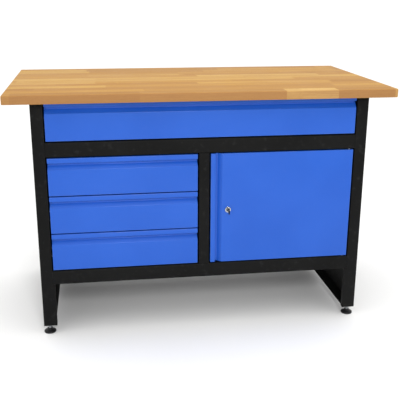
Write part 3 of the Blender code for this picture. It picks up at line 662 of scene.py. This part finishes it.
# ---------------------------------------------------------------- drawer fronts and door
def pull_section(height, lip, depth, inset=0.0, extra=0.0):
    """Section of a front, from its face inwards and from its plain edge to its finger pull, folds rounded.

    inset moves the outline inwards by a sheet, and extra carries it on past the rear.
    """
    under = height - lip
    recess_end = under - RECESS_HEIGHT
    slope_end = recess_end - SLOPE_HEIGHT
    rise = SLOPE_HEIGHT / RECESS_DEPTH
    drop = inset * (sqrt(1 + rise * rise) - rise)
    back = RECESS_DEPTH + inset
    points = [
        (depth + extra, inset),
        (inset, inset),
        (inset, slope_end - drop),
        (back, recess_end - drop),
        (back, under + inset),
        (inset, under + inset),
        (inset, height - inset),
        (depth + extra, height - inset),
    ]
    fold = max(PAN_FOLD - inset, LEAST_FOLD)
    tight = PAN_FOLD + inset
    radii = [0, fold, fold * 1.6, tight * 1.4, tight, fold, fold, 0]
    return rounded(points, radii)


def mark_wear_and_highlight_edges(front, low, high):
    """Mark the narrow rounded faces along the outer edges of a front, where its paint wears first and where a
    highlight is painted on.
    """
    marks = front.data.attributes.new("wear_and_highlight_edge", "FLOAT", "FACE")
    for face, mark in zip(front.data.polygons, marks.data):
        x, y, z = face.center
        to_edge = min(x - low.x, high.x - x, z - low.z, high.z - z)
        turned_away = max(abs(value) for value in face.normal) < 0.995
        mark.value = float(turned_away and y - low.y < WEAR_AND_HIGHLIGHT_BAND and to_edge < WEAR_AND_HIGHLIGHT_BAND)


def make_pull_front(node, lip=LIP_HEIGHT, upright=False):
    """A folded front and the mesh that hollows it; upright turns its finger pull to the left edge."""
    low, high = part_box(node)
    depth = high.y - low.y
    if upright:
        height, start, end = high.x - low.x, low.z, high.z

        def place(a, b, along):
            return Vector((high.x - b, low.y + a, along))
    else:
        height, start, end = high.z - low.z, low.x, high.x

        def place(a, b, along):
            return Vector((along, low.y + a, low.z + b))

    bm = prism(pull_section(height, lip, depth), start, end, place)
    ends = [edge for edge in bm.edges if len(edge.link_faces) == 2
            and any(len(face.verts) > 4 for face in edge.link_faces)
            and not all(vert.co.y > high.y - SAME for vert in edge.verts)]
    bmesh.ops.bevel(bm, geom=ends, offset=PAN_SHEET * 0.9, segments=3, profile=0.5, affect="EDGES",
                    clamp_overlap=True)
    front = new_piece(node + "_skin", bm, BLUE)
    inside = pull_section(height, lip, depth, PAN_SHEET, CUT_PAST)
    hollow = prism(inside, start + PAN_SHEET, end - PAN_SHEET, place)
    return front, hollow


def make_fronts():
    for drawer in DRAWERS:
        node = drawer + "_front"
        front, hollow = make_pull_front(node, WIDE_LIP_HEIGHT if drawer == "wide_drawer" else LIP_HEIGHT)
        carve(front, hollow)
        mark_wear_and_highlight_edges(front, *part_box(node))
        stand_for(front, node)
    door, hollow = make_pull_front("door", upright=True)
    barrel_low, barrel_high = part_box("lock_barrel")
    axis = (barrel_low + barrel_high) / 2
    hole = rod_mesh((axis.x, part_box("door")[0].y, axis.z), LOCK_HOLE_RADIUS, 2 * CUT_PAST, "Y")
    tools = [hollow, hole]
    for pin in ("hinge_pin_upper", "hinge_pin_lower"):
        pin_low, pin_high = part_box(pin)
        tools.append(rod_mesh((pin_low + pin_high) / 2, PIN_HOLE_RADIUS, PIN_HOLE_LENGTH))
    carve(door, *tools)
    mark_wear_and_highlight_edges(door, *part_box("door"))
    stand_for(door, "door")


# ---------------------------------------------------------------- frame
def make_frame():
    for side in ("left", "right"):
        refined_sheet(side + "_side_panel")
    for rail in ("middle_front_rail", "bottom_front_rail"):
        channel(rail, "X", "+Y", FRAME_SHEET, FRAME_FOLD, BLACK)
    channel("mullion", "Z", "+Y", FRAME_SHEET, FRAME_FOLD, BLACK)
    channel("rear_top_rail", "X", "-Z", FRAME_SHEET, FRAME_FOLD, BLACK)
    for deck in ("divider_deck", "cabinet_floor"):
        channel(deck, "Y", "-Z", DECK_SHEET, DECK_FOLD, BLACK)
    refined_sheet("centre_partition")
    refined_sheet("rear_panel")


# ---------------------------------------------------------------- drawers
def make_tray(node):
    """A folded tray with rounded corners and a hemmed rim."""
    low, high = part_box(node)
    bm = box_mesh(low, high)
    folds = [edge for edge in bm.edges if not all(vert.co.z > high.z - SAME for vert in edge.verts)]
    bmesh.ops.bevel(bm, geom=folds, offset=BOX_FOLD, segments=4, profile=0.5, affect="EDGES")
    tray = new_piece(node + "_tray", bm, BLUE)
    inner_low = low + Vector((BOX_SHEET, BOX_SHEET, BOX_SHEET))
    inner_high = Vector((high.x, high.y, high.z + CUT_PAST)) - Vector((BOX_SHEET, BOX_SHEET, 0))
    inner = box_mesh(inner_low, inner_high)
    inner_folds = [edge for edge in inner.edges if not all(vert.co.z > high.z for vert in edge.verts)]
    bmesh.ops.bevel(inner, geom=inner_folds, offset=BOX_INNER_FOLD, segments=4, profile=0.5, affect="EDGES")
    carve(tray, inner)
    stand_for(tray, node)
    make_hem(node, low, high)


def make_hem(node, low, high):
    """The rolled hem around a tray's rim, slightly flattened."""
    sides = 10
    left, right = low.x + HEM_RADIUS, high.x - HEM_RADIUS
    front, rear = low.y + HEM_RADIUS, high.y - HEM_RADIUS
    loop = rounded([(left, front), (right, front), (right, rear), (left, rear)], HEM_CORNER, closed=True)
    bm = bmesh.new()
    rings = []
    for index, (x, y) in enumerate(loop):
        ahead = Vector(loop[(index + 1) % len(loop)]) - Vector(loop[index - 1])
        outward = Vector((ahead.y, -ahead.x)).normalized()
        ring = []
        for turn in [tau * k / sides for k in range(sides)]:
            ring.append(bm.verts.new((x + outward.x * HEM_RADIUS * cos(turn) * 0.9,
                                      y + outward.y * HEM_RADIUS * cos(turn) * 0.9,
                                      high.z - HEM_RADIUS + HEM_RADIUS * sin(turn) * 0.95)))
        rings.append(ring)
    skin(bm, rings + rings[:1])
    rim = new_piece(node + "_hem", bm, BLUE, 60.0)
    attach(rim, BODY_OF[node])


def make_drawers():
    for drawer in DRAWERS:
        make_tray(drawer + "_box")
        for side, inwards, outwards in (("left", "+X", "-X"), ("right", "-X", "+X")):
            moving = f"{drawer}_{side}_moving_rail"
            fixed = f"{drawer}_{side}_fixed_rail"
            channel(moving, "Y", outwards, RUNNER_SHEET, RUNNER_FOLD, ZINC)
            channel(fixed, "Y", inwards, RUNNER_SHEET, RUNNER_FOLD, ZINC)


# ---------------------------------------------------------------- lock
def make_lock():
    """The lock's pieces about one axis, which starts in the door's face."""
    low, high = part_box("lock_barrel")
    axis = Vector(((low.x + high.x) / 2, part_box("door")[0].y, (low.z + high.z) / 2))
    make_barrel(axis)
    make_plug(axis)
    make_hex_nut("lock_nut", LOCK_HOLE_RADIUS, "Y")
    make_cam(axis)
    make_key(axis)


def make_barrel(axis):
    """A rounded bezel in front of the door and a threaded body behind it, bored for the plug."""
    low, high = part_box("lock_barrel")
    plug_low, plug_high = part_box("lock_plug")
    bezel = (high.x - low.x) / 2
    proud = axis.y - low.y
    rear = high.y - axis.y
    bore = (plug_high.x - plug_low.x) / 2 + PLUG_GAP
    step = 0.0006
    seat = 0.0003
    profile = [(bore, proud - step), (bore + step, proud)]
    profile += [(bezel - BEZEL_ROUND + BEZEL_ROUND * sin(a), proud - BEZEL_ROUND + BEZEL_ROUND * cos(a))
                for a in quarter_turn(5)]
    profile += [(bezel, seat), (LOCK_BODY_RADIUS, seat)]
    for turn in range(int((rear - LOCK_PITCH) / LOCK_PITCH)):
        at = -step - turn * LOCK_PITCH
        profile += [(LOCK_BODY_RADIUS, at), (LOCK_BODY_RADIUS - LOCK_THREAD_DEPTH, at - LOCK_PITCH / 2)]
    profile += [(LOCK_BODY_RADIUS - 0.0004, -rear), (bore, -rear)]
    barrel = turned("lock_barrel_turned", profile, axis, CHROME, axis="-Y", ring=True)
    stand_for(barrel, "lock_barrel")


def make_plug(axis):
    """The plug that the key turns, with its keyway."""
    low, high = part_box("lock_plug")
    key_low, key_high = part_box("key")
    radius = (high.x - low.x) / 2
    front = axis.y - low.y
    rear = high.y - axis.y
    profile = [(0, front), (radius - PLUG_CHAMFER, front), (radius, front - PLUG_CHAMFER), (radius, -rear),
               (0, -rear)]
    plug = turned("lock_plug_turned", profile, axis, CHROME, axis="-Y")
    keyway_low = (key_low.x - KEYWAY_GAP, low.y - CUT_PAST, axis.z - KEYWAY_HALF)
    keyway_high = (key_high.x + KEYWAY_GAP, key_high.y + 0.0003, axis.z + KEYWAY_HALF)
    carve(plug, box_mesh(keyway_low, keyway_high))
    stand_for(plug, "lock_plug")


def make_cam(axis):
    """The cam: a flat tongue with rounded ends and a slotted cap screw at its turning point."""
    low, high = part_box("lock_cam")
    half = (high.x - low.x) / 2
    bottom, top = low.z - axis.z, high.z - axis.z
    outline = rounded([(-half, bottom), (half, bottom), (half, top), (-half, top)],
                      [half * 0.6, half * 0.6, half * 0.9, half * 0.9], segments=8, closed=True)

    def place(a, b, along):
        return Vector((axis.x + a, along, axis.z + b))

    cam = new_piece("lock_cam_tongue", prism(outline, low.y, high.y, place), ZINC)
    soften(stand_for(cam, "lock_cam"), 0.0003, segments=2)
    profile = [(0, 0.0030), (0.0028, 0.0030), (0.0036, 0.0022), (0.0038, 0.0002), (0, 0.0002)]
    centre = (axis.x, high.y, axis.z)
    head = turned("lock_cam_screw", profile, centre, ZINC, axis="Y", sides=32)
    carve(head, box_mesh((axis.x - SCREW_SLOT_HALF, high.y + 0.0018, axis.z - 0.005),
                         (axis.x + SCREW_SLOT_HALF, high.y + 0.005, axis.z + 0.005)))
    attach(head, "lock")


def make_key(axis):
    """The key: toothed steel blade, and a moulded bow with a ring hole."""
    low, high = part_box("key")
    plug_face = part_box("lock_plug")[0].y
    half = (high.x - low.x) / 2
    bow_radius = (high.z - low.z) / 2
    bow_y = low.y + bow_radius
    neck = plug_face - 0.0012

    def place(a, b, along):
        return Vector((along, a, axis.z + b))

    tip = high.y
    shoulder = tip - KEY_TIP
    blade = [(neck, -KEY_BLADE_HALF), (shoulder, -KEY_BLADE_HALF), (tip, 0)]
    steps = 6
    length = shoulder - (plug_face + 0.0006)
    for step in range(steps + 1):
        drop = KEY_TOOTH if step % 2 else KEY_TOOTH * 0.25
        blade.append((shoulder - length * step / steps, KEY_BLADE_HALF - drop))
    blade.append((neck, KEY_BLADE_HALF))
    solid = prism(blade, axis.x - half * 0.8, axis.x + half * 0.8, place)
    shank = new_piece("key_blade", solid, ZINC)
    soften(shank, 0.00015)
    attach(shank, "lock")

    disc = [(bow_y + b, a) for a, b in circle(bow_radius, 40)]
    solid = prism(disc, axis.x - half, axis.x + half, place)
    bow = new_piece("key_bow", solid, KEY_BLACK)
    collar_half = KEY_BLADE_HALF + 0.0006
    collar = box_mesh((axis.x - half, bow_y, axis.z - collar_half),
                      (axis.x + half, neck, axis.z + collar_half))
    combine(bow, collar, "UNION")
    carve(bow, rod_mesh((axis.x, bow_y - bow_radius / 2, axis.z), KEY_RING_HOLE, 0.02, "X"))
    soften(bow, 0.0004, segments=2, angle=40.0)
    stand_for(bow, "key")


# ---------------------------------------------------------------- fasteners and feet
def make_hex_nut(node, bore, axis="Z"):
    """A hexagon nut with a bored hole and chamfered corners."""
    low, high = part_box(node)
    centre = (low + high) / 2
    if axis == "Z":
        thickness, radius = high.z - low.z, (high.y - low.y) / 2
    else:
        thickness, radius = high.y - low.y, (high.z - low.z) / 2
    nut = new_piece(node + "_hex", rod_mesh(centre, radius, thickness, axis, 6), ZINC)
    across_flats = radius * cos(pi / 6)
    half = thickness / 2
    chamfer = NUT_CHAMFER * 1.5
    profile = [(across_flats * 0.97, half * 1.6), (across_flats * 0.97, half),
               (radius * 1.06, half - chamfer), (radius * 1.4, half - chamfer), (radius * 1.4, half * 1.6)]
    for end in (1, -1):
        collar = lathe([(r, end * height) for r, height in profile], ROD_SIDES, ring=True)
        collar.transform(Matrix.Translation(centre) @ TURN_TO[axis])
        carve(nut, collar)
    carve(nut, rod_mesh(centre, bore, thickness * 3, axis))
    stand_for(nut, node)


def make_stud(node):
    """A stud with a real helical thread that fades out at both ends."""
    low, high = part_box(node)
    centre = (low + high) / 2
    sides = 24
    rows_per_turn = 6
    depth = STUD_PITCH * 0.45
    rows = int((high.z - low.z) / (STUD_PITCH / rows_per_turn))
    bm = bmesh.new()
    rings = []
    for row in range(rows + 1):
        z = low.z + (high.z - low.z) * row / rows
        fade = min(1.0, (high.z - z) / STUD_PITCH, (z - low.z) / STUD_PITCH)
        ring = []
        for k in range(sides):
            phase = ((z - low.z) / STUD_PITCH - k / sides) % 1.0
            radius = STUD_RADIUS - depth * abs(2 * phase - 1) * fade - (1 - fade) * depth * 0.6
            x = centre.x + radius * cos(tau * k / sides)
            y = centre.y + radius * sin(tau * k / sides)
            ring.append(bm.verts.new((x, y, z)))
        rings.append(ring)
    skin(bm, rings)
    bm.faces.new(rings[0])
    bm.faces.new(rings[-1])
    stud = new_piece(node + "_threaded", bm, ZINC, 50.0)
    stand_for(stud, node)


def make_foot(place):
    """A moulded pad on a threaded stud, with its lock nut."""
    node = "foot_pad_" + place
    low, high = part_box(node)
    centre = Vector(((low.x + high.x) / 2, (low.y + high.y) / 2, 0))
    radius = (high.x - low.x) / 2
    top = high.z
    outer = rounded([
        (STUD_HOLE_RADIUS, FOOT_HOLE_BOTTOM),
        (STUD_HOLE_RADIUS, top),
        (FOOT_NECK_RADIUS, top),
        (FOOT_NECK_RADIUS + 0.0010, top - 0.0050),
        (radius - 0.0035, 0.0072),
        (radius, 0.0052),
        (radius, 0.0008),
        (radius - 0.0012, 0.0),
    ], [0, 0.0004, 0.0012, 0.0035, 0.0030, 0.0016, 0.0005, 0])
    profile = [(0, FOOT_HOLE_BOTTOM)] + outer
    profile += [(radius - 0.004, 0.0), (radius - 0.005, FOOT_UNDERCUT), (0, FOOT_UNDERCUT)]
    pad = turned(node + "_moulded", profile, centre, FOOT_BLACK, sharp=50.0)
    stand_for(pad, node)
    make_stud("foot_stud_" + place)
    make_hex_nut("foot_nut_" + place, FOOT_NUT_BORE)


def make_screw(place):
    """Pan head with a cross recess, and its shank up into the slab."""
    node = "top_screw_" + place
    low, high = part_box(node)
    centre = Vector(((low.x + high.x) / 2, (low.y + high.y) / 2, low.z))
    radius = (high.x - low.x) / 2
    length = high.z - low.z
    dome = [(radius * sin(a), SCREW_HEAD_HEIGHT * 0.65 * (1 - cos(a))) for a in quarter_turn(6)]
    profile = [(0, 0)] + dome[1:]
    profile += [(radius, SCREW_HEAD_HEIGHT), (SCREW_SHANK_RADIUS, SCREW_HEAD_HEIGHT),
                (SCREW_SHANK_RADIUS, length - 0.003), (0, length)]
    screw = turned(node + "_headed", profile, centre, ZINC, sides=32)
    arm = radius * 0.5
    bottom, top = low.z - 0.002, low.z + 0.0016
    for half_x, half_y in ((arm, SCREW_SLOT_HALF), (SCREW_SLOT_HALF, arm)):
        carve(screw, box_mesh((centre.x - half_x, centre.y - half_y, bottom),
                              (centre.x + half_x, centre.y + half_y, top)))
    stand_for(screw, node)


def make_hinge_pins():
    for which, axis in (("upper", "Z"), ("lower", "-Z")):
        node = "hinge_pin_" + which
        low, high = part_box(node)
        head_end = high.z if which == "upper" else low.z
        centre = Vector(((low.x + high.x) / 2, (low.y + high.y) / 2, head_end))
        length = high.z - low.z
        head = (high.x - low.x) / 2
        profile = [(0, 0), (head - 0.0007, 0), (head, -0.0006), (head, -PIN_HEAD_HEIGHT),
                   (PIN_SHANK_RADIUS, -PIN_HEAD_HEIGHT), (PIN_SHANK_RADIUS, -length + 0.001),
                   (PIN_SHANK_RADIUS - 0.0009, -length), (0, -length)]
        pin = turned(node + "_turned", profile, centre, ZINC, axis=axis, sides=40)
        stand_for(pin, node)


# ---------------------------------------------------------------- studio
def make_studio():
    floor = bmesh.new()
    bmesh.ops.create_grid(floor, x_segments=1, y_segments=1, size=FLOOR_HALF)
    mesh = bpy.data.meshes.new("studio_floor")
    floor.to_mesh(mesh)
    floor.free()
    ground = bpy.data.objects.new("studio_floor", mesh)
    bpy.context.scene.collection.objects.link(ground)
    mesh.materials.append(studio_floor())

    world = bpy.data.worlds.new("studio")
    world.use_nodes = True
    sky = world.node_tree
    direction = sky.nodes.new("ShaderNodeTexCoord")
    height = sky.nodes.new("ShaderNodeSeparateXYZ")
    glow = sky.nodes.new("ShaderNodeMapRange")
    sky.links.new(direction.outputs["Generated"], height.inputs["Vector"])
    sky.links.new(height.outputs["Z"], glow.inputs["Value"])
    glow.inputs["To Min"].default_value = SKY_LOW
    glow.inputs["To Max"].default_value = SKY_HIGH
    sky.nodes["Background"].inputs["Color"].default_value = (1.0, 1.0, 1.0, 1.0)
    sky.links.new(glow.outputs["Result"], sky.nodes["Background"].inputs["Strength"])
    bpy.context.scene.world = world

    for setting in LIGHTS:
        light = bpy.data.lights.new(setting["name"], "AREA")
        light.shape = "SQUARE"
        light.size = setting["size"]
        light.energy = setting["power"]
        lamp = bpy.data.objects.new(setting["name"], light)
        bpy.context.scene.collection.objects.link(lamp)
        aim = Vector(LIGHT_AIM) - Vector(setting["at"])
        turn = aim.to_track_quat("-Z", "Y").to_matrix().to_4x4()
        lamp.matrix_world = Matrix.Translation(setting["at"]) @ turn


def make_camera():
    level = cos(CAMERA_PITCH)
    forward = Vector((-sin(CAMERA_YAW) * level, cos(CAMERA_YAW) * level, -sin(CAMERA_PITCH)))
    level_right = Vector((cos(CAMERA_YAW), sin(CAMERA_YAW), 0.0))
    level_up = level_right.cross(forward)
    right = level_right * cos(CAMERA_ROLL) + level_up * sin(CAMERA_ROLL)
    up = level_up * cos(CAMERA_ROLL) - level_right * sin(CAMERA_ROLL)
    turn = Matrix((right, up, -forward)).transposed().to_4x4()
    data = bpy.data.cameras.new("camera")
    data.sensor_width = CAMERA_SENSOR
    data.lens = CAMERA_LENS
    data.clip_end = 300.0
    camera = bpy.data.objects.new("camera", data)
    bpy.context.scene.collection.objects.link(camera)
    camera.matrix_world = Matrix.Translation(CAMERA_AT) @ turn
    bpy.context.scene.camera = camera


make_slab()
make_fronts()
make_frame()
make_drawers()
make_lock()
make_hinge_pins()
for foot in FEET:
    make_foot(foot)
    make_screw(foot)
make_studio()
make_camera()
bpy.context.scene.view_settings.view_transform = "Standard"
